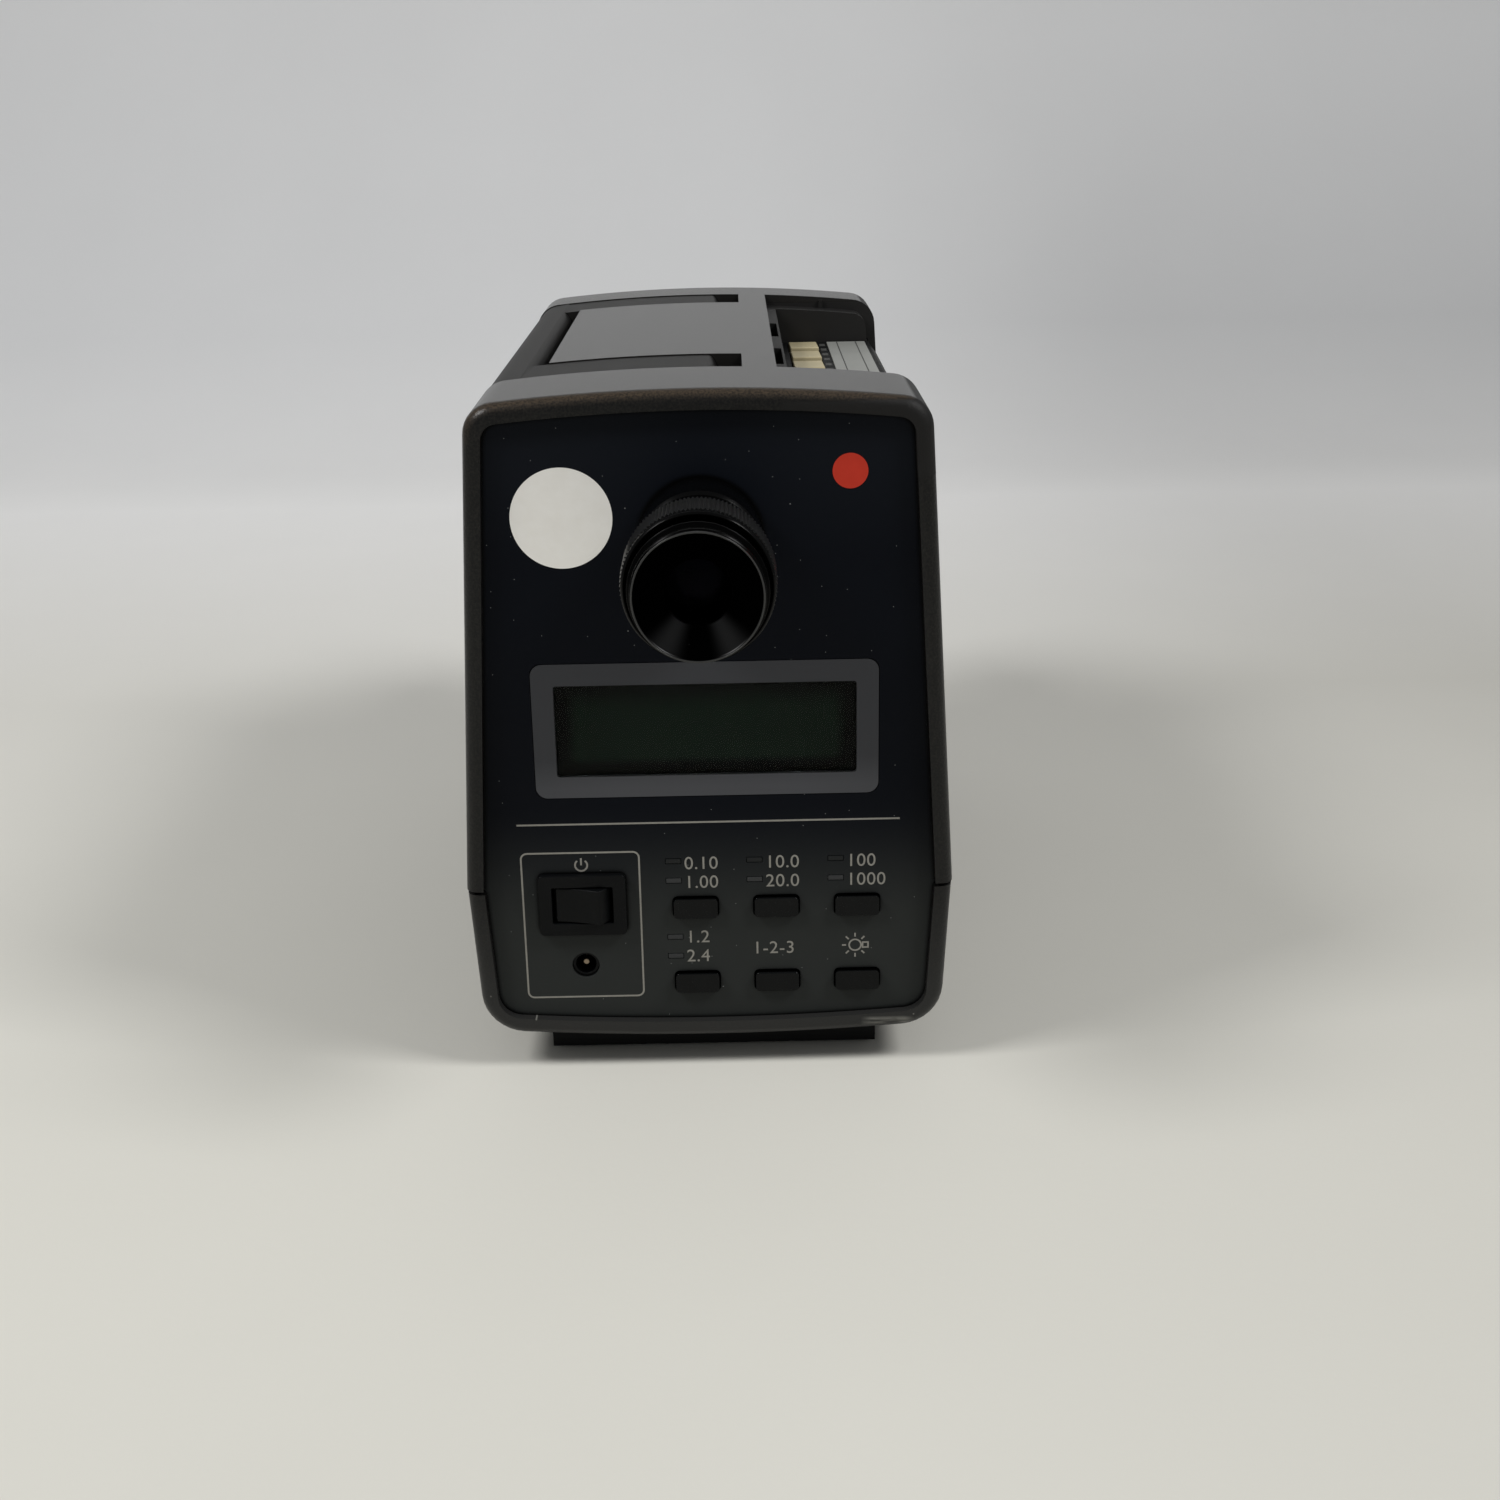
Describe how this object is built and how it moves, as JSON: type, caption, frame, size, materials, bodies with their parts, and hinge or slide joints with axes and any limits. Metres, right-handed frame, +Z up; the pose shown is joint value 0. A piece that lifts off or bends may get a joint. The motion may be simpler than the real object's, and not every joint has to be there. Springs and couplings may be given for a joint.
{
  "type": "luminance colorimeter",
  "caption": "Table-top luminance colorimeter with an eyepiece and control panel at one end, an objective at the other, a fold-down carrying handle and an open settings bay.",
  "frame": {"origin": "on the resting plane under the middle of the overall length, on the case's centre line", "axes": "+X to the operator's right, +Y from the eyepiece towards the objective, +Z up"},
  "size_m": [0.15, 0.3856, 0.214],
  "materials": {
    "case_plastic": "fine textured moulding",
    "handle_plastic": "fine textured moulding",
    "panel_film": "satin printed film",
    "window_acrylic": "clear acrylic with a printed grey border",
    "display_glass": "dark green liquid crystal glass",
    "black_plastic": "satin moulding",
    "black_bakelite": "polished rim",
    "black_metal": "black anodised",
    "bench_aluminium": "milled",
    "steel": "plated",
    "nickel_contact": "plated",
    "light_pipe": "unlit smoked light",
    "cream_plastic": "moulded",
    "grey_plate": "printed plate without words",
    "circuit_board": "solder mask",
    "rubber_pad": "matt",
    "lens_glass": "coated",
    "filter_glass": "coloured",
    "mirror_glass": "silvered"
  },
  "bodies": {
    "case": {"upper_cover": "case_plastic", "lower_case": "case_plastic", "front_panel": "panel_film", "rear_panel": "black_metal", "display_window": "window_acrylic", "lcd_module": "display_glass", "switch_bezel": "black_plastic", "dc_inlet": "black_plastic", "dc_contact": "nickel_contact", "indicator_lights": "light_pipe", "key_board": "circuit_board", "eyepiece_base": "black_metal", "objective_mount": "black_metal", "handle_pins": "steel", "settings_panel": "black_plastic", "settings_plate": "grey_plate", "settings_board": "circuit_board", "base_plate": "black_metal", "foot_pads": "rubber_pad", "tripod_bush": "steel", "case_screws": "steel", "optical_bench": "bench_aluminium", "finder_tube": "black_metal", "mirror_holder": "bench_aluminium", "beam_splitter": "mirror_glass", "filter_motor": "steel", "detector_housing": "bench_aluminium", "main_board": "circuit_board"},
    "handle": {"carry_handle": "handle_plastic"},
    "rocker": {"power_rocker": "black_plastic"},
    "diopter": {"diopter_ring": "black_metal"},
    "eye_slide": {"eye_tube": "black_metal", "eyecup": "black_bakelite", "eye_lens": "lens_glass"},
    "focus": {"focus_ring": "black_metal"},
    "lens_slide": {"lens_tube": "black_metal", "front_lens": "lens_glass", "rear_lens": "lens_glass"},
    "wheel": {"filter_wheel": "black_metal", "colour_filters": "filter_glass"},
    "key_1": {"key_1": "black_plastic"},
    "key_2": {"key_2": "black_plastic"},
    "key_3": {"key_3": "black_plastic"},
    "key_4": {"key_4": "black_plastic"},
    "key_5": {"key_5": "black_plastic"},
    "key_6": {"key_6": "black_plastic"},
    "setting_key_1": {"setting_key_1": "cream_plastic"},
    "setting_key_2": {"setting_key_2": "cream_plastic"},
    "setting_key_3": {"setting_key_3": "cream_plastic"},
    "setting_key_4": {"setting_key_4": "cream_plastic"},
    "setting_key_5": {"setting_key_5": "cream_plastic"},
    "setting_key_6": {"setting_key_6": "cream_plastic"}
  },
  "joints": [
    {"name": "handle_lift", "type": "hinge", "parent": "case", "child": "handle", "pos_m": [0.0025, 0.0146, 0.2072], "axis": [0, 1, 0], "range_deg": [0, 90]},
    {"name": "rocker_tip", "type": "hinge", "parent": "case", "child": "rocker", "pos_m": [-0.0394, -0.12265, 0.056], "axis": [0, 0, 1], "range_deg": [0, 26]},
    {"name": "key_press_1", "type": "slide", "parent": "case", "child": "key_1", "axis": [0, 1, 0], "range_m": [0, 0.001], "stiffness_N_per_m": 600},
    {"name": "key_press_2", "type": "slide", "parent": "case", "child": "key_2", "axis": [0, 1, 0], "range_m": [0, 0.001], "stiffness_N_per_m": 600},
    {"name": "key_press_3", "type": "slide", "parent": "case", "child": "key_3", "axis": [0, 1, 0], "range_m": [0, 0.001], "stiffness_N_per_m": 600},
    {"name": "key_press_4", "type": "slide", "parent": "case", "child": "key_4", "axis": [0, 1, 0], "range_m": [0, 0.001], "stiffness_N_per_m": 600},
    {"name": "key_press_5", "type": "slide", "parent": "case", "child": "key_5", "axis": [0, 1, 0], "range_m": [0, 0.001], "stiffness_N_per_m": 600},
    {"name": "key_press_6", "type": "slide", "parent": "case", "child": "key_6", "axis": [0, 1, 0], "range_m": [0, 0.001], "stiffness_N_per_m": 600},
    {"name": "setting_press_1", "type": "slide", "parent": "case", "child": "setting_key_1", "axis": [0, 0, -1], "range_m": [0, 0.0012], "stiffness_N_per_m": 800},
    {"name": "setting_press_2", "type": "slide", "parent": "case", "child": "setting_key_2", "axis": [0, 0, -1], "range_m": [0, 0.0012], "stiffness_N_per_m": 800},
    {"name": "setting_press_3", "type": "slide", "parent": "case", "child": "setting_key_3", "axis": [0, 0, -1], "range_m": [0, 0.0012], "stiffness_N_per_m": 800},
    {"name": "setting_press_4", "type": "slide", "parent": "case", "child": "setting_key_4", "axis": [0, 0, -1], "range_m": [0, 0.0012], "stiffness_N_per_m": 800},
    {"name": "setting_press_5", "type": "slide", "parent": "case", "child": "setting_key_5", "axis": [0, 0, -1], "range_m": [0, 0.0012], "stiffness_N_per_m": 800},
    {"name": "setting_press_6", "type": "slide", "parent": "case", "child": "setting_key_6", "axis": [0, 0, -1], "range_m": [0, 0.0012], "stiffness_N_per_m": 800},
    {"name": "diopter_turn", "type": "hinge", "parent": "case", "child": "diopter", "pos_m": [0, -0.17265, 0.1705], "axis": [0, 1, 0], "range_deg": [-120, 120]},
    {"name": "eye_travel", "type": "slide", "parent": "case", "child": "eye_slide", "axis": [0, 1, 0], "range_m": [-0.002, 0.002]},
    {"name": "focus_turn", "type": "hinge", "parent": "case", "child": "focus", "pos_m": [0, 0.15835, 0.1705], "axis": [0, 1, 0], "range_deg": [0, 200]},
    {"name": "lens_travel", "type": "slide", "parent": "case", "child": "lens_slide", "axis": [0, 1, 0], "range_m": [0, 0.008]},
    {"name": "filter_turn", "type": "hinge", "parent": "case", "child": "wheel", "pos_m": [0, 0.03835, 0.111], "axis": [0, 0, 1], "continuous": true}
  ],
  "couplings": [
    {"joint": "eye_travel", "follows": "diopter_turn", "m_per_rad": 0.00095483},
    {"joint": "lens_travel", "follows": "focus_turn", "m_per_rad": 0.0022916}
  ]
}
